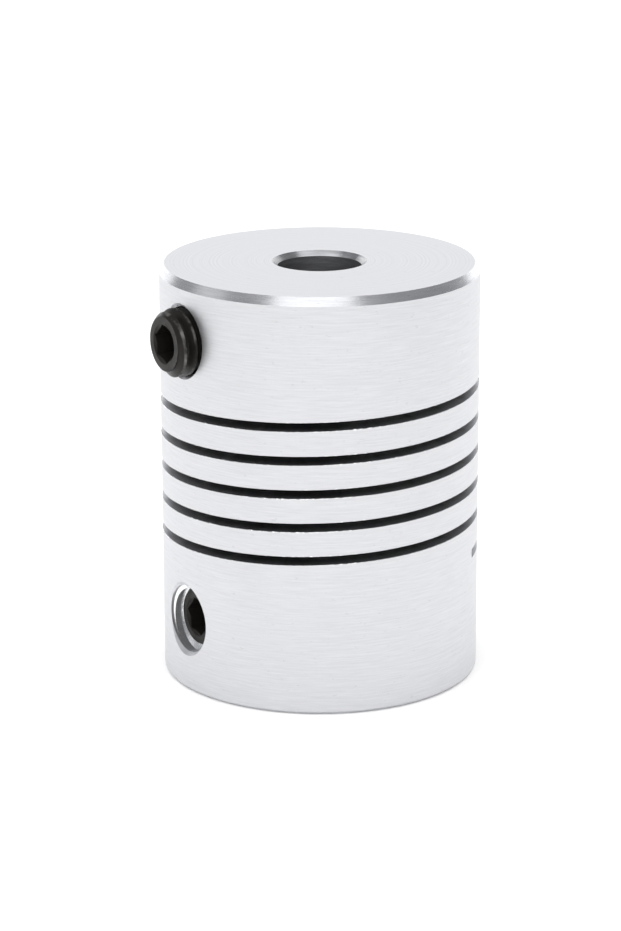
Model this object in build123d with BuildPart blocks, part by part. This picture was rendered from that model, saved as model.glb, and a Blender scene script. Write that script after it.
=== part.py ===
from build123d import *
import math
import os

os.makedirs("parts", exist_ok=True)

# A one-piece flexible shaft coupling: a turned aluminium body that a helical slit
# makes springy, and four set screws that grip the two shafts, two on each.
# The origin is the centre of the lower end face and +Z runs along the shaft axis.
# Sizes are in millimetres and angles in degrees, measured about +Z from +X.

# Turned body
outer_diameter = 19.0
body_length = 25.0
upper_bore_diameter = 5.0
lower_bore_diameter = 8.0
lower_bore_depth = 12.5
drill_point_angle = 118.0
bore_mouth_chamfer = 0.3
top_chamfer_height = 0.5
top_chamfer_width = 0.32
bottom_edge_break = 0.2

# Helical slit, cut with a slitting saw while the body turns and advances
slit_width = 0.55
slit_pitch = 2.0
slit_turns = 4.95
slit_start_height = 8.2
slit_start_angle = 7.5
slit_break_through = 0.4
slit_overrun = 1.0
saw_diameter = 25.0
saw_tilt_radius = 5.4
slit_facets_per_turn = 24

# Tapped holes, two near each end at a right angle to each other
left_hole_angle = 180.0
rear_hole_angle = 90.0
upper_hole_inset = 3.6
lower_hole_inset = 4.4
hole_countersink = 0.22
thread_clearance = 0.03

# Set screws with a hexagon socket and a cup point
screw_diameter = 4.0
screw_length = 4.0
screw_socket_width = 2.0
screw_socket_depth = 1.5
socket_drill_angle = 120.0
screw_end_chamfer = 0.4
cup_point_diameter = 2.0
cup_angle = 120.0
upper_left_standout = 1.15
upper_rear_recess = 0.9
lower_left_recess = 0.8
lower_rear_recess = 0.8

outer_radius = outer_diameter / 2
upper_bore_radius = upper_bore_diameter / 2
lower_bore_radius = lower_bore_diameter / 2
screw_radius = screw_diameter / 2
hole_radius = screw_radius + thread_clearance
drill_slope = math.tan(math.radians(drill_point_angle / 2))
shoulder_height = (lower_bore_radius - upper_bore_radius) / drill_slope

# The saw lies at the helix angle of one radius of the wall, so it is tilted a little
# and its straight cut leaves the helix where it runs out to the surface at each end.
slit_depth_radius = min(upper_bore_radius, lower_bore_radius) - slit_break_through
slit_outer_radius = outer_radius + slit_overrun
slit_rise = slit_pitch * slit_turns
slit_end_angle = slit_start_angle + 360.0 * slit_turns
saw_tilt = math.atan2(slit_pitch, 2 * math.pi * saw_tilt_radius)
saw_radius = saw_diameter / 2
saw_centre_distance = slit_depth_radius + saw_radius


def radial(angle):
    """Unit vector that points away from the axis at an angle about it."""
    turn = math.radians(angle)
    return Vector(math.cos(turn), math.sin(turn), 0)


def saw_plane(angle, height):
    """Plane of the saw's disc, its x along the radius and its y along the slit."""
    across = Vector(0, 0, 1).cross(radial(angle))
    normal = Vector(0, 0, 1) * math.cos(saw_tilt) - across * math.sin(saw_tilt)
    return Plane(origin=(0, 0, height), x_dir=radial(angle), z_dir=normal)


def hole_plane(angle, height, distance):
    """Plane at a distance from the axis that looks straight out of the body."""
    outward = radial(angle)
    origin = outward * distance + Vector(0, 0, height)
    return Plane(origin=origin, x_dir=(0, 0, 1), z_dir=outward)


upper_hole_height = body_length - upper_hole_inset
lower_hole_height = lower_hole_inset
tapped_holes = [
    hole_plane(left_hole_angle, upper_hole_height, outer_radius),
    hole_plane(rear_hole_angle, upper_hole_height, outer_radius),
    hole_plane(left_hole_angle, lower_hole_height, outer_radius),
    hole_plane(rear_hole_angle, lower_hole_height, outer_radius),
]

# The slit's full depth follows a helix in short flat facets between radial lines.
facet_count = math.ceil(slit_turns * slit_facets_per_turn)
facet_angle = 360.0 * slit_turns / facet_count
facet_rise = slit_rise / facet_count


def slit_corner(radius, step, side):
    """Point on the upper (side 1) or lower (side -1) flank, so many facets along."""
    height = slit_start_height + facet_rise * step + side * slit_width / 2
    return radial(slit_start_angle + facet_angle * step) * radius + Vector(0, 0, height)


def flat_face(*corners):
    """Flat face with these corners."""
    return Face(Wire.make_polygon(corners))


slit_faces = []
for step in range(facet_count):
    for side in (-1, 1):
        inner_here = slit_corner(slit_depth_radius, step, side)
        outer_here = slit_corner(slit_outer_radius, step, side)
        inner_next = slit_corner(slit_depth_radius, step + 1, side)
        outer_next = slit_corner(slit_outer_radius, step + 1, side)
        slit_faces.append(flat_face(inner_here, outer_here, outer_next))
        slit_faces.append(flat_face(inner_here, outer_next, inner_next))
    for radius in (slit_depth_radius, slit_outer_radius):
        slit_faces.append(
            flat_face(
                slit_corner(radius, step, -1),
                slit_corner(radius, step + 1, -1),
                slit_corner(radius, step + 1, 1),
                slit_corner(radius, step, 1),
            )
        )
for step in (0, facet_count):
    slit_faces.append(
        flat_face(
            slit_corner(slit_depth_radius, step, -1),
            slit_corner(slit_outer_radius, step, -1),
            slit_corner(slit_outer_radius, step, 1),
            slit_corner(slit_depth_radius, step, 1),
        )
    )

# Each end keeps the round of the saw's disc, where the cut runs out to the surface.
slit_floor = slit_start_height - slit_width / 2
slit_start = saw_plane(slit_start_angle, slit_floor)
slit_end = saw_plane(slit_end_angle, slit_floor + slit_rise)
with BuildPart() as slit_cut:
    add(Solid(Shell(slit_faces)))
    for plane, side in ((slit_start, -1), (slit_end, 1)):
        with BuildSketch(plane):
            with Locations((saw_centre_distance, 0)):
                Circle(saw_radius)
            with Locations((saw_centre_distance, side * saw_radius / 2)):
                Rectangle(saw_diameter, saw_radius, mode=Mode.INTERSECT)
        extrude(amount=slit_width, dir=(0, 0, 1))

# The body is turned from bar and bored from both ends, then slit, drilled and tapped.
with BuildPart() as coupling_body:
    with BuildSketch(Plane.XZ) as half_section:
        with BuildLine():
            Polyline(
                (lower_bore_radius + bore_mouth_chamfer, 0),
                (outer_radius - bottom_edge_break, 0),
                (outer_radius, bottom_edge_break),
                (outer_radius, body_length - top_chamfer_height),
                (outer_radius - top_chamfer_width, body_length),
                (upper_bore_radius + bore_mouth_chamfer, body_length),
                (upper_bore_radius, body_length - bore_mouth_chamfer),
                (upper_bore_radius, lower_bore_depth + shoulder_height),
                (lower_bore_radius, lower_bore_depth),
                (lower_bore_radius, bore_mouth_chamfer),
                close=True,
            )
        make_face()
    revolve(axis=Axis.Z)

    with Locations(*tapped_holes):
        CounterSinkHole(
            radius=hole_radius,
            counter_sink_radius=hole_radius + hole_countersink,
            depth=outer_radius,
            counter_sink_angle=90,
        )

    add(slit_cut.part, mode=Mode.SUBTRACT)

coupling_body.part.label = "coupling_body"
export_step(coupling_body.part, "parts/coupling_body.step")

# One set screw with its socket end at the origin and its cup point towards -Z.
socket_radius = screw_socket_width / 2
socket_point_depth = socket_radius / math.tan(math.radians(socket_drill_angle / 2))
socket_bottom_depth = screw_socket_depth + socket_point_depth
cup_radius = cup_point_diameter / 2
cup_depth = cup_radius / math.tan(math.radians(cup_angle / 2))
point_chamfer = screw_radius - cup_radius
with BuildPart() as set_screw_form:
    with BuildSketch(Plane.XZ):
        with BuildLine():
            Polyline(
                (0, 0),
                (screw_radius - screw_end_chamfer, 0),
                (screw_radius, -screw_end_chamfer),
                (screw_radius, point_chamfer - screw_length),
                (cup_radius, -screw_length),
                (0, cup_depth - screw_length),
                close=True,
            )
        make_face()
    revolve(axis=Axis.Z)
    with BuildSketch(Plane.XY):
        RegularPolygon(radius=socket_radius, side_count=6, major_radius=False)
    extrude(amount=-screw_socket_depth, mode=Mode.SUBTRACT)
    with BuildSketch(Plane.XZ):
        with BuildLine():
            Polyline(
                (0, -screw_socket_depth),
                (socket_radius, -screw_socket_depth),
                (0, -socket_bottom_depth),
                close=True,
            )
        make_face()
    revolve(axis=Axis.Z, mode=Mode.SUBTRACT)

# The screws as they are set: one stands out, the others are below the surface.
with BuildPart() as upper_left_set_screw:
    with Locations(
        hole_plane(left_hole_angle, upper_hole_height, outer_radius + upper_left_standout)
    ):
        add(set_screw_form.part)

upper_left_set_screw.part.label = "upper_left_set_screw"
export_step(upper_left_set_screw.part, "parts/upper_left_set_screw.step")

with BuildPart() as upper_rear_set_screw:
    with Locations(
        hole_plane(rear_hole_angle, upper_hole_height, outer_radius - upper_rear_recess)
    ):
        add(set_screw_form.part)

upper_rear_set_screw.part.label = "upper_rear_set_screw"
export_step(upper_rear_set_screw.part, "parts/upper_rear_set_screw.step")

with BuildPart() as lower_left_set_screw:
    with Locations(
        hole_plane(left_hole_angle, lower_hole_height, outer_radius - lower_left_recess)
    ):
        add(set_screw_form.part)

lower_left_set_screw.part.label = "lower_left_set_screw"
export_step(lower_left_set_screw.part, "parts/lower_left_set_screw.step")

with BuildPart() as lower_rear_set_screw:
    with Locations(
        hole_plane(rear_hole_angle, lower_hole_height, outer_radius - lower_rear_recess)
    ):
        add(set_screw_form.part)

lower_rear_set_screw.part.label = "lower_rear_set_screw"
export_step(lower_rear_set_screw.part, "parts/lower_rear_set_screw.step")
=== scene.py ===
import bpy
import math
from mathutils import Matrix, Vector


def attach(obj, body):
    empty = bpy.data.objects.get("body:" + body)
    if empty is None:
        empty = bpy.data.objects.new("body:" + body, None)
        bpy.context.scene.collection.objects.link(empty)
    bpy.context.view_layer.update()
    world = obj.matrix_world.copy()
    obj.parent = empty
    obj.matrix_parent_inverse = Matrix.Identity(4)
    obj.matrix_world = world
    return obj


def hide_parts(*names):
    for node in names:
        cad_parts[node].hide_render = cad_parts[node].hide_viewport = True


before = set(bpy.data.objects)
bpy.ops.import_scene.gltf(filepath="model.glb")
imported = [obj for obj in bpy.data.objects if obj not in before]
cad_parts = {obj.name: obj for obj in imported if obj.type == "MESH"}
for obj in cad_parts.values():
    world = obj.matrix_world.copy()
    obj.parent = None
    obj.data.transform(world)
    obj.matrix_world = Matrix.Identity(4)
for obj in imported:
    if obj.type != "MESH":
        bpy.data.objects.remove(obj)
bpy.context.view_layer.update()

MM = 0.001

# Camera: a long lens a hand's length from the coupling, looking down a little on its
# upper end, with the left row of set screws to the left and the rear row hidden. The
# bearing is the camera's direction from the shaft axis, in degrees about +Z from +X.
camera_place = Vector((-96.861, -152.041, 66.545)) * MM
camera_right = Vector((0.84460, -0.53538, -0.00296))
camera_up = Vector((0.15649, 0.24158, 0.95768))
camera_bearing = 237.5
camera_data = bpy.data.cameras.new("camera")
camera_data.lens = 121.0
camera_data.sensor_width = 36.0
camera_data.clip_start = 0.01
camera = bpy.data.objects.new("camera", camera_data)
camera_turn = Matrix((camera_right, camera_up, camera_right.cross(camera_up))).transposed()
camera.matrix_world = Matrix.Translation(camera_place) @ camera_turn.to_4x4()
bpy.context.scene.collection.objects.link(camera)
bpy.context.scene.camera = camera

# Stage: a plain white floor under a white surround, with soft lamps that don't show.
# The surround is greyer in the metal's reflections, where the lamps draw bright bands.
bpy.context.scene.view_settings.view_transform = "Standard"


def new_material(name):
    """An empty node material and its shader, ready for its own detail."""
    material = bpy.data.materials.new(name)
    material.use_nodes = True
    return material, material.node_tree, material.node_tree.nodes["Principled BSDF"]


def node(tree, kind, settings=None, **inputs):
    """A node with these settings, its inputs named by words and fed values or sockets."""
    made = tree.nodes.new(kind)
    for name, value in (settings or {}).items():
        setattr(made, name, value)
    for name, value in inputs.items():
        socket = made.inputs[name.replace("_", " ")]
        if isinstance(value, bpy.types.NodeSocket):
            tree.links.new(value, socket)
        else:
            socket.default_value = value
    return made


floor_mesh = bpy.data.meshes.new("floor")
floor_half = 1.5
floor_signs = ((-1, -1), (1, -1), (1, 1), (-1, 1))
floor_corners = [(x * floor_half, y * floor_half, 0) for x, y in floor_signs]
floor_mesh.from_pydata(floor_corners, [], [(0, 1, 2, 3)])
floor = bpy.data.objects.new("floor", floor_mesh)
bpy.context.scene.collection.objects.link(floor)
floor_material, _, floor_shader = new_material("white_paper")
floor_shader.inputs["Base Color"].default_value = (0.97, 0.97, 0.97, 1)
floor_shader.inputs["Roughness"].default_value = 0.9
floor_shader.inputs["Specular IOR Level"].default_value = 0.0
floor_mesh.materials.append(floor_material)

world = bpy.data.worlds.new("white_surround")
world.use_nodes = True
bpy.context.scene.world = world
world_tree = world.node_tree
surround = world_tree.nodes["Background"]
rays = node(world_tree, "ShaderNodeLightPath")
glossy = node(world_tree, "ShaderNodeMixRGB", Fac=rays.outputs["Is Glossy Ray"],
              Color1=(1.0, 1.0, 1.0, 1), Color2=(0.33, 0.335, 0.345, 1))
world_tree.links.new(glossy.outputs["Color"], surround.inputs["Color"])
surround.inputs["Strength"].default_value = 1.0


def lamp(name, bearing, height, distance, size, power):
    """A soft oblong lamp at a bearing from the camera's own, aimed at the coupling."""
    data = bpy.data.lights.new(name, "AREA")
    data.shape = "RECTANGLE"
    data.size, data.size_y = size
    data.energy = power
    turn = math.radians(camera_bearing + bearing)
    lift = math.radians(height)
    level = Vector((math.cos(turn), math.sin(turn), 0)) * math.cos(lift)
    away = level + Vector((0, 0, math.sin(lift)))
    made = bpy.data.objects.new(name, data)
    made.location = Vector((0, 0, 12.5 * MM)) + away * distance
    made.rotation_euler = away.to_track_quat("Z", "Y").to_euler()
    made.visible_camera = False
    bpy.context.scene.collection.objects.link(made)


# Each lamp's bearing, height in degrees, distance, width and length in metres, and watts.
lamp("front_softbox", -5, 47, 0.7, (0.62, 0.32), 0.8)
lamp("back_panel", 180, 16, 1.0, (2.0, 0.7), 4.9)
lamp("front_panel", 0, 14, 1.1, (2.0, 0.5), 1.0)
lamp("top_softbox", 0, 80, 0.7, (0.9, 0.34), 1.25)
lamp("left_panel", -95, 35, 0.8, (0.3, 0.5), 0.22)
lamp("right_panel", 130, 35, 0.8, (0.3, 0.5), 0.05)

# Set screws: M4 with a socket and a cup point, cut from bar, threaded end to end and
# blackened. One node group makes all four, so that their threads are the same.
thread_pitch = 0.7
screw_length = 4.0
root_radius = 1.6
steps_per_turn = 96
rows_per_pitch = 14
full_turn = 2 * math.pi


def node_group(name, inputs):
    """A geometry node group with these inputs, each given as (name, kind, value)."""
    group = bpy.data.node_groups.new(name, "GeometryNodeTree")
    for label, kind, value in inputs:
        socket = group.interface.new_socket(label, in_out="INPUT", socket_type=kind)
        if value is not None:
            socket.default_value = value
    group.interface.new_socket("Geometry", in_out="OUTPUT", socket_type="NodeSocketGeometry")
    source = group.nodes.new("NodeGroupInput")
    return group, source.outputs


def sums(tree):
    """A maker of math nodes in this tree: sums(tree)("ADD", a, b) gives the result."""
    def work(operation, *values):
        made = tree.nodes.new("ShaderNodeMath")
        made.operation = operation
        for socket, value in zip(made.inputs, values):
            if isinstance(value, bpy.types.NodeSocket):
                tree.links.new(value, socket)
            else:
                socket.default_value = value
        return made.outputs[0]
    return work


def around(tree, work, geometry, radius, angle, height):
    """The geometry with its points set at this radius, angle and height."""
    place = node(tree, "ShaderNodeCombineXYZ",
                 X=work("MULTIPLY", radius, work("COSINE", angle)),
                 Y=work("MULTIPLY", radius, work("SINE", angle)), Z=height)
    moved = node(tree, "GeometryNodeSetPosition", Geometry=geometry,
                 Position=place.outputs["Vector"])
    return moved.outputs["Geometry"]


def grid(tree, work, columns, rows):
    """A grid, and for each point its column and its row."""
    made = node(tree, "GeometryNodeMeshGrid", Vertices_X=columns, Vertices_Y=rows)
    index = node(tree, "GeometryNodeInputIndex").outputs["Index"]
    column = work("FLOOR", work("DIVIDE", work("ADD", index, 0.5), rows))
    row = work("SUBTRACT", index, work("MULTIPLY", column, rows))
    return made.outputs["Mesh"], column, row


def choose(tree, row, values):
    """The value for each row, from a list of numbers and sockets."""
    made = tree.nodes.new("GeometryNodeIndexSwitch")
    made.data_type = "FLOAT"
    while len(made.index_switch_items) < len(values):
        made.index_switch_items.new()
    tree.links.new(row, made.inputs["Index"])
    for item, value in enumerate(values):
        socket = made.inputs[item + 1]
        if isinstance(value, bpy.types.NodeSocket):
            tree.links.new(value, socket)
        else:
            socket.default_value = value
    return made.outputs[0]


def finish_group(tree, parts, material):
    """Joins the parts, merges their seams and gives them the material and the output."""
    joined = node(tree, "GeometryNodeJoinGeometry")
    for part in reversed(parts):
        tree.links.new(part, joined.inputs["Geometry"])
    merged = node(tree, "GeometryNodeMergeByDistance", Geometry=joined.outputs["Geometry"],
                  Distance=0.0005 * MM)
    real = node(tree, "GeometryNodeRealizeInstances", Geometry=merged.outputs["Geometry"])
    coated = node(tree, "GeometryNodeSetMaterial", Geometry=real.outputs["Geometry"],
                  Material=material)
    end = tree.nodes.new("NodeGroupOutput")
    tree.links.new(coated.outputs["Geometry"], end.inputs["Geometry"])


def bake(name, group, values, place, sharp_angle):
    """Runs the node group with these inputs and keeps its result as one plain mesh."""
    maker = bpy.data.objects.new(name + "_maker", bpy.data.meshes.new(name + "_maker"))
    bpy.context.scene.collection.objects.link(maker)
    modifier = maker.modifiers.new(name, "NODES")
    modifier.node_group = group
    for item in group.interface.items_tree:
        if item.in_out == "INPUT" and item.name in values:
            modifier[item.identifier] = values[item.name]
    bpy.context.view_layer.update()
    ready = maker.evaluated_get(bpy.context.evaluated_depsgraph_get())
    mesh = bpy.data.meshes.new_from_object(ready)
    bpy.data.objects.remove(maker)
    mesh.transform(place)
    mesh.name = name
    mesh.shade_smooth()
    mesh.set_sharp_from_angle(angle=math.radians(sharp_angle))
    piece = bpy.data.objects.new(name, mesh)
    bpy.context.scene.collection.objects.link(piece)
    return piece


# Black oxide: a thin matt coat on steel, patchy and a little brown. Along the crests of
# the threads it is lighter in places, partly oxide rubbed off and partly a painted highlight.
black_oxide, black_tree, black_shader = new_material("black_oxide")
black_shader.inputs["Metallic"].default_value = 0.0
black_shader.inputs["Specular IOR Level"].default_value = 0.16


def streaks(tree, scale, detail, roughness=0.6):
    """Noise on the object's own place, with this many waves a metre along X, Y and Z."""
    stretched = node(tree, "ShaderNodeMapping", Scale=scale,
                     Vector=node(tree, "ShaderNodeTexCoord").outputs["Object"])
    return node(tree, "ShaderNodeTexNoise", Vector=stretched.outputs["Vector"], Scale=1.0,
                Detail=detail, Roughness=roughness).outputs["Fac"]


def blend_by(tree, amount, low, high):
    """A value that goes from low to high as the amount goes from 0 to 1."""
    made = node(tree, "ShaderNodeMapRange", Value=amount, To_Min=low, To_Max=high)
    return made.outputs["Result"]


black_grain = streaks(black_tree, (5200.0, 5200.0, 5200.0), 4.0)
black_patches = streaks(black_tree, (1100.0, 1100.0, 1100.0), 2.0)
oxide = node(black_tree, "ShaderNodeMixRGB", Fac=black_patches,
             Color1=(0.006, 0.0055, 0.005, 1), Color2=(0.018, 0.016, 0.014, 1))
# Painted highlight: the crest rows get a lighter colour in patches. This is partly worn oxide and partly
# stands in for glints on the crests.
crest_wear_and_highlight = node(black_tree, "ShaderNodeAttribute", {"attribute_name": "crest_wear_and_highlight"}).outputs["Fac"]
rubbed = node(black_tree, "ShaderNodeMapRange", Value=black_patches,
              From_Min=0.42, From_Max=0.66).outputs["Result"]
oxide_and_crest_highlight = node(black_tree, "ShaderNodeMixRGB", Fac=sums(black_tree)("MULTIPLY", crest_wear_and_highlight, rubbed),
            Color1=oxide.outputs["Color"], Color2=(0.13, 0.125, 0.12, 1))
black_tree.links.new(oxide_and_crest_highlight.outputs["Color"], black_shader.inputs["Base Color"])
black_roughness = blend_by(black_tree, black_grain, 0.22, 0.48)
black_tree.links.new(black_roughness, black_shader.inputs["Roughness"])
black_bump = node(black_tree, "ShaderNodeBump", Strength=0.35, Distance=0.01 * MM,
                  Height=black_grain)
black_tree.links.new(black_bump.outputs["Normal"], black_shader.inputs["Normal"])

screw_group, screw_in = node_group("threaded_set_screw", [
    ("Length", "NodeSocketFloat", screw_length * MM),
    ("Pitch", "NodeSocketFloat", thread_pitch * MM),
    ("Crest Radius", "NodeSocketFloat", 2.0 * MM),
    ("Root Radius", "NodeSocketFloat", root_radius * MM),
    ("Point Radius", "NodeSocketFloat", 1.0 * MM),
    ("Socket Radius", "NodeSocketFloat", 1.0 * MM),
    ("Socket Depth", "NodeSocketFloat", 1.5 * MM),
    ("Material", "NodeSocketMaterial", None),
])
work = sums(screw_group)
length = screw_in["Length"]
half_crest = 0.05 * MM
strip_turns = screw_length / thread_pitch + 2
strip_columns = math.ceil(strip_turns * steps_per_turn) + 1
strip, column, row = grid(screw_group, work, strip_columns, rows_per_pitch + 1)
angle = work("MULTIPLY", column, full_turn / steps_per_turn)
climb = work("ADD", work("DIVIDE", column, steps_per_turn), work("DIVIDE", row, rows_per_pitch))
height = work("SUBTRACT", work("MULTIPLY", work("SUBTRACT", climb, 1.0), screw_in["Pitch"]), length)
kept = work("MINIMUM", work("MAXIMUM", height, work("MULTIPLY", length, -1.0)), 0.0)
across_pitch = work("SUBTRACT", work("DIVIDE", row, rows_per_pitch), 0.5)
off_crest = work("MULTIPLY", work("ABSOLUTE", across_pitch), screw_in["Pitch"])
off_flat = work("MAXIMUM", work("SUBTRACT", off_crest, half_crest), 0.0)
down_flank = work("MULTIPLY", off_flat, math.sqrt(3))
thread = work("MAXIMUM", work("SUBTRACT", screw_in["Crest Radius"], down_flank), screw_in["Root Radius"])
socket_end = work("SUBTRACT", screw_in["Root Radius"], kept)
cup_end = work("ADD", screw_in["Point Radius"], work("ADD", kept, length))
radius = work("MINIMUM", thread, work("MINIMUM", socket_end, cup_end))
thread_part = around(screw_group, work, strip, radius, angle, kept)
# The crest rows, where the material paints its lighter colour: partly wear, partly a painted highlight.
on_crest = work("LESS_THAN", off_crest, half_crest * 1.2)
crest_mark_stored = node(screw_group, "GeometryNodeStoreNamedAttribute",
                    {"data_type": "FLOAT", "domain": "POINT"},
                    Geometry=thread_part, Name="crest_wear_and_highlight", Value=on_crest)
thread_part = crest_mark_stored.outputs["Geometry"]

disc, column, row = grid(screw_group, work, steps_per_turn + 1, 6)
angle = work("MULTIPLY", column, -full_turn / steps_per_turn)
sixth = full_turn / 6
from_corner = work("MODULO", work("MULTIPLY", angle, -1.0), sixth)
from_flat = work("SUBTRACT", from_corner, sixth / 2)
hexagon = work("DIVIDE", screw_in["Socket Radius"], work("COSINE", from_flat))
mouth = work("MULTIPLY", screw_in["Socket Radius"], 1.2)
mouth_depth = work("MULTIPLY", work("SUBTRACT", hexagon, mouth), 0.6)
floor_depth = work("MULTIPLY", screw_in["Socket Depth"], -1.0)
drill_slope = math.tan(math.radians(30))
drill_point = work("MULTIPLY", screw_in["Socket Radius"], drill_slope)
drill_depth = work("SUBTRACT", floor_depth, drill_point)
radius = choose(screw_group, row, [
    screw_in["Root Radius"], mouth, hexagon, hexagon, screw_in["Socket Radius"], 0.0,
])
height = choose(screw_group, row, [0.0, 0.0, mouth_depth, floor_depth, floor_depth, drill_depth])
socket_part = around(screw_group, work, disc, radius, angle, height)

cup, column, row = grid(screw_group, work, steps_per_turn + 1, 2)
angle = work("MULTIPLY", column, full_turn / steps_per_turn)
bottom = work("MULTIPLY", length, -1.0)
top = work("ADD", bottom, work("MULTIPLY", screw_in["Point Radius"], drill_slope))
radius = choose(screw_group, row, [screw_in["Point Radius"], 0.0])
height = choose(screw_group, row, [bottom, top])
cup_part = around(screw_group, work, cup, radius, angle, height)
finish_group(screw_group, [thread_part, socket_part, cup_part], screw_in["Material"])

# Where each screw is: its hole's direction, the hole's height, how far the socket end is
# from the shaft axis, the radius of the bore that its point reaches, and how far the
# screw is turned in its hole. Lengths are in millimetres and the turn is in degrees.
left = Vector((-1, 0, 0))
rear = Vector((0, 1, 0))
screws = {
    "upper_left": (left, 21.4, 10.65, 2.5, 12.0),
    "upper_rear": (rear, 21.4, 8.6, 2.5, 40.0),
    "lower_left": (left, 4.4, 8.7, 4.0, 20.0),
    "lower_rear": (rear, 4.4, 8.7, 4.0, 5.0),
}


def looking_out(outward, height, distance):
    """The place at this distance from the axis, its Z pointing straight out of the body."""
    up = Vector((0, 0, 1))
    turn = Matrix((up, outward.cross(up), outward)).transposed().to_4x4()
    return Matrix.Translation(outward * distance * MM + up * height * MM) @ turn


for name, (outward, hole_height, reach, _, turned_by) in screws.items():
    turn = Matrix.Rotation(math.radians(turned_by), 4, "Z")
    place = looking_out(outward, hole_height, reach) @ turn
    screw = bake(name + "_threaded_screw", screw_group, {"Material": black_oxide}, place, 30)
    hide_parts(name + "_set_screw")
    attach(screw, name + "_screw")

# Coupling body: aluminium bar turned on the outside and faced on the ends, so fine tool
# marks run round it. The chamfer at the top is bright from the tool, and the bores and
# the slit's flanks are duller and rougher. Their colour is also darkened by painted shade,
# in patches in the bores and more strongly deep inside the slit.
aluminium, alu_tree, alu_shader = new_material("turned_aluminium")
alu = sums(alu_tree)
alu_shader.inputs["Metallic"].default_value = 1.0
inside_radius = 9.46 * MM
largest_bore = 4.05 * MM
chamfer_foot = 24.4 * MM
chamfer_slope = 0.58
slope_margin = 0.18
slit_middle = 13.15 * MM
slit_half_height = 6.2 * MM
flank_edge = 9.4 * MM
where = node(alu_tree, "ShaderNodeTexCoord")
position = node(alu_tree, "ShaderNodeSeparateXYZ", Vector=where.outputs["Object"]).outputs
facing = node(alu_tree, "ShaderNodeSeparateXYZ", Vector=where.outputs["Normal"]).outputs
from_axis = alu("SQRT", alu("ADD", alu("MULTIPLY", position["X"], position["X"]),
                            alu("MULTIPLY", position["Y"], position["Y"])))
upward = alu("ABSOLUTE", facing["Z"])
on_end = alu("GREATER_THAN", upward, 0.8)
inside = alu("LESS_THAN", from_axis, inside_radius)
near_bore = alu("LESS_THAN", from_axis, largest_bore)
in_bore = alu("MULTIPLY", near_bore, alu("SUBTRACT", 1.0, on_end))
off_slope = alu("ABSOLUTE", alu("SUBTRACT", upward, chamfer_slope))
near_top = alu("GREATER_THAN", position["Z"], chamfer_foot)
on_chamfer = alu("MULTIPLY", alu("LESS_THAN", off_slope, slope_margin), near_top)

turned = streaks(alu_tree, (520.0, 520.0, 11000.0), 5.0, 0.7)
ring = node(alu_tree, "ShaderNodeCombineXYZ", X=alu("MULTIPLY", from_axis, 9000.0), Y=0.0, Z=0.0)
faced = node(alu_tree, "ShaderNodeTexNoise", Vector=ring.outputs["Vector"], Scale=1.0,
             Detail=3.0).outputs["Fac"]
grain = streaks(alu_tree, (9000.0, 9000.0, 9000.0), 2.0)
specks = node(alu_tree, "ShaderNodeValToRGB", Fac=streaks(alu_tree, (2600.0, 2600.0, 5200.0), 2.0))
specks.color_ramp.elements[0].position = 0.27
specks.color_ramp.elements[1].position = 0.33

lines = blend_by(alu_tree, on_end, turned, faced)
bored = streaks(alu_tree, (350.0, 350.0, 3600.0), 2.0)
marks = alu("ADD", alu("MULTIPLY", lines, 0.8), alu("MULTIPLY", grain, 0.2))
marks = alu("ADD", marks, alu("MULTIPLY", alu("MULTIPLY", bored, in_bore), 6.0))
dull = blend_by(alu_tree, turned, 0.40, 0.50)
dull = blend_by(alu_tree, on_end, dull, 0.42)
dull = blend_by(alu_tree, inside, dull, blend_by(alu_tree, upward, 0.5, 0.42))
polished = blend_by(alu_tree, streaks(alu_tree, (420.0, 420.0, 5000.0), 2.0), 0.16, 0.34)
dull = blend_by(alu_tree, on_chamfer, dull, polished)
alu_tree.links.new(dull, alu_shader.inputs["Roughness"])
shade = alu("MULTIPLY", blend_by(alu_tree, lines, 0.80, 1.16),
            blend_by(alu_tree, specks.outputs["Color"], 0.9, 1.0))
# Painted shade in the bores: their walls are darkened in patches, to between 0.2 and 0.95 of the colour.
bore_painted_shade = blend_by(alu_tree, bored, 0.2, 0.95)
shade = alu("MULTIPLY", shade, blend_by(alu_tree, in_bore, 1.0, bore_painted_shade))
# Painted shade in the slit: its flanks are darkened towards the axis, to 0.55 deep inside and not at all
# at the outer edge.
off_slit_middle = alu("ABSOLUTE", alu("SUBTRACT", position["Z"], slit_middle))
on_flank = alu("MULTIPLY", alu("LESS_THAN", from_axis, flank_edge), on_end)
in_slit = alu("MULTIPLY", on_flank, alu("LESS_THAN", off_slit_middle, slit_half_height))
slit_painted_shade = node(alu_tree, "ShaderNodeMapRange", Value=from_axis, From_Min=8.7 * MM, From_Max=9.42 * MM,
            To_Min=0.55, To_Max=1.0).outputs["Result"]
shade = alu("MULTIPLY", shade, blend_by(alu_tree, in_slit, 1.0, slit_painted_shade))
tint = node(alu_tree, "ShaderNodeVectorMath", {"operation": "SCALE"}, Scale=shade)
tint.inputs[0].default_value = (0.695, 0.70, 0.72)
alu_tree.links.new(tint.outputs["Vector"], alu_shader.inputs["Base Color"])
bump = node(alu_tree, "ShaderNodeBump", Strength=0.4, Distance=0.006 * MM, Height=marks)
alu_tree.links.new(bump.outputs["Normal"], alu_shader.inputs["Normal"])
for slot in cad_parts["coupling_body"].material_slots:
    slot.material = aluminium

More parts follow.
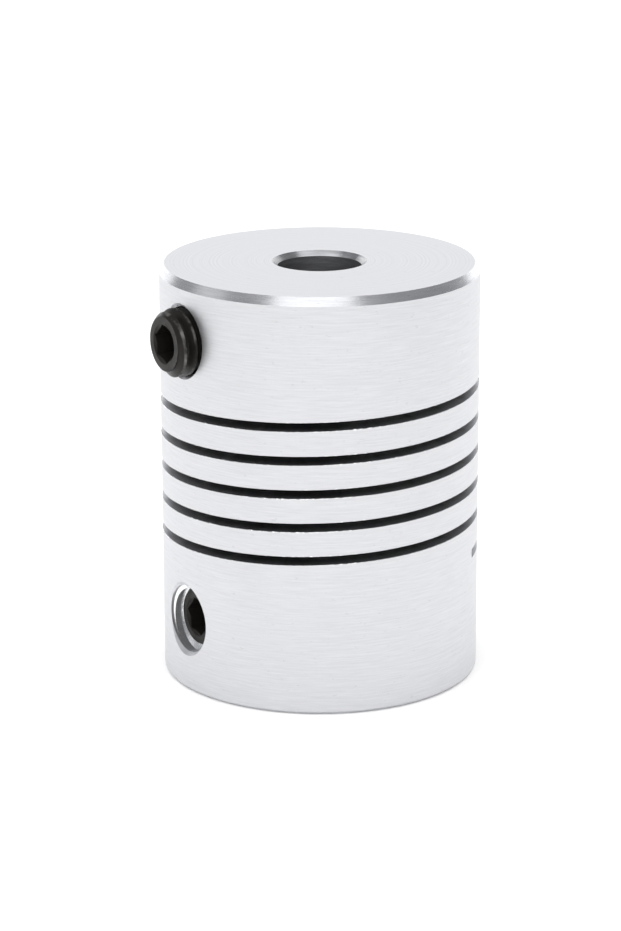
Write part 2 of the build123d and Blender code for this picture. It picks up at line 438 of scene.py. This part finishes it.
# Cut edges, on the hole threads and the burrs: bare aluminium with a fine rough grain that
# sparkles, lighter than the body, partly fresh-cut metal and partly a painted highlight.
cut_edge_and_highlight, edge_tree, edge_shader = new_material("cut_edge_and_painted_highlight")
edge_shader.inputs["Metallic"].default_value = 1.0
edge_grain = streaks(edge_tree, (5200.0, 5200.0, 5200.0), 3.0)
edge_tree.links.new(blend_by(edge_tree, edge_grain, 0.14, 0.34), edge_shader.inputs["Roughness"])
edge_bump = node(edge_tree, "ShaderNodeBump", Strength=0.6, Distance=0.02 * MM, Height=edge_grain)
edge_tree.links.new(edge_bump.outputs["Normal"], edge_shader.inputs["Normal"])
# Painted highlight: this colour is lighter than the body's, partly for the fresh cut and partly so that
# the edges show bright.
edge_shader.inputs["Base Color"].default_value = (0.93, 0.94, 0.95, 1)

# Threads in the four tapped holes: M4 ridges cut into the body, which start below the
# countersinks. Their helix is the screws' own, so the screws lie between the ridges.
# The first and last ridge are given from the bore's wall and from the shaft axis.
first_ridge = 0.35
last_ridge = 9.15
flank_reach = 0.287 * MM
ridge_group, ridge_in = node_group("tapped_thread", [
    ("Pitch", "NodeSocketFloat", thread_pitch * MM),
    ("Crest Radius", "NodeSocketFloat", 1.65 * MM),
    ("Base Radius", "NodeSocketFloat", 2.06 * MM),
    ("Start Distance", "NodeSocketFloat", 2.85 * MM),
    ("Turns", "NodeSocketFloat", 9.0),
    ("Phase", "NodeSocketFloat", 0.0),
    ("Mouth Distance", "NodeSocketFloat", 7.25 * MM),
    ("Material", "NodeSocketMaterial", None),
])
work = sums(ridge_group)
ridge_columns = work("MULTIPLY", ridge_in["Turns"], steps_per_turn)
strip, column, row = grid(ridge_group, work, ridge_columns, 6)
angle = work("MULTIPLY", column, full_turn / steps_per_turn)
ahead = work("DIVIDE", column, steps_per_turn)
middle = work("ADD", ridge_in["Start Distance"],
              work("MULTIPLY", work("ADD", ahead, ridge_in["Phase"]), ridge_in["Pitch"]))
offset = choose(ridge_group, row, [
    -flank_reach, -half_crest, half_crest, flank_reach, 0.0, -flank_reach,
])
crest = choose(ridge_group, row, [0.0, 1.0, 1.0, 0.0, -0.1, 0.0])
start_taper = work("MINIMUM", work("MULTIPLY", ahead, 2.0), 1.0)
turns_left = work("SUBTRACT", ridge_in["Turns"], ahead)
end_taper = work("MINIMUM", work("MULTIPLY", turns_left, 2.0), 1.0)
taper = work("MULTIPLY", start_taper, end_taper)
height = work("ADD", middle, work("MULTIPLY", offset, taper))
tall = work("MULTIPLY", work("SUBTRACT", ridge_in["Base Radius"], ridge_in["Crest Radius"]), taper)
ridge = work("SUBTRACT", ridge_in["Base Radius"], work("MULTIPLY", tall, crest))
countersink = work("SUBTRACT", height, ridge_in["Mouth Distance"])
radius = work("MAXIMUM", ridge, work("MINIMUM", countersink, ridge_in["Base Radius"]))
ridge_part = around(ridge_group, work, strip, radius, angle, height)
finish_group(ridge_group, [ridge_part], ridge_in["Material"])

for name, (outward, hole_height, reach, bore, turned_by) in screws.items():
    start = bore + first_ridge
    phase = ((reach - screw_length - start) / thread_pitch - turned_by / 360) % 1.0
    turns = (last_ridge - start) / thread_pitch - phase
    place = looking_out(outward, hole_height, 0.0)
    thread = bake(name + "_hole_thread", ridge_group, {
        "Start Distance": start * MM, "Turns": turns, "Phase": phase, "Material": cut_edge_and_highlight,
    }, place, 30)
    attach(thread, "coupling")

# Burrs along the slit: the saw leaves a thin ragged lip on both edges, most of it on
# the lower edge. It is a tiny bead that follows the slit and swells and fades along it.
slit_turns = 4.95
lower_edge = 7.925
upper_edge = 8.475
burr_steps = 900
bead_sides = 5
burr_group, burr_in = node_group("slit_burr", [
    ("Radius", "NodeSocketFloat", 9.49 * MM),
    ("Start Height", "NodeSocketFloat", lower_edge * MM),
    ("Start Angle", "NodeSocketFloat", math.radians(7.5)),
    ("Slit Pitch", "NodeSocketFloat", 2.0 * MM),
    ("Thickness", "NodeSocketFloat", 0.035 * MM),
    ("Seed", "NodeSocketFloat", 3.0),
    ("Material", "NodeSocketMaterial", None),
])
work = sums(burr_group)
burr_columns = math.floor(slit_turns * burr_steps) + 1
strip, column, row = grid(burr_group, work, burr_columns, bead_sides + 1)
ahead = work("DIVIDE", column, burr_steps)
angle = work("ADD", burr_in["Start Angle"], work("MULTIPLY", ahead, full_turn))
middle = work("ADD", burr_in["Start Height"], work("MULTIPLY", ahead, burr_in["Slit Pitch"]))


def rough(scale):
    """Noise along the slit, with this many waves a turn."""
    line = node(burr_group, "ShaderNodeCombineXYZ", X=work("MULTIPLY", ahead, scale),
                Y=burr_in["Seed"], Z=0.0)
    return node(burr_group, "ShaderNodeTexNoise", Vector=line.outputs["Vector"], Scale=1.0,
                Detail=2.0).outputs["Fac"]


ragged = work("MULTIPLY", work("MAXIMUM", work("SUBTRACT", rough(210.0), 0.40), 0.0), 4.2)
strong = work("MULTIPLY", work("SUBTRACT", rough(9.0), 0.40), 8.0)
stretches = work("MINIMUM", work("MAXIMUM", strong, 0.15), 1.0)
ends = work("MINIMUM", work("MINIMUM", work("MULTIPLY", ahead, 30.0), 1.0),
            work("MULTIPLY", work("SUBTRACT", slit_turns, ahead), 30.0))
thick = work("MULTIPLY", work("MULTIPLY", burr_in["Thickness"], ends),
             work("ADD", 0.12, work("MULTIPLY", ragged, stretches)))
round_bead = work("MULTIPLY", row, full_turn / bead_sides)
radius = work("ADD", burr_in["Radius"], work("MULTIPLY", thick, work("COSINE", round_bead)))
height = work("ADD", middle, work("MULTIPLY", thick, work("SINE", round_bead)))
burr_part = around(burr_group, work, strip, radius, angle, height)
finish_group(burr_group, [burr_part], burr_in["Material"])

burrs = (("lower", lower_edge, 0.042, 3.0), ("upper", upper_edge, 0.024, 11.0))
for name, start, thickness, seed in burrs:
    burr = bake(name + "_slit_burr", burr_group, {
        "Start Height": start * MM, "Thickness": thickness * MM, "Seed": seed,
        "Material": cut_edge_and_highlight,
    }, Matrix.Identity(4), 60)
    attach(burr, "coupling")
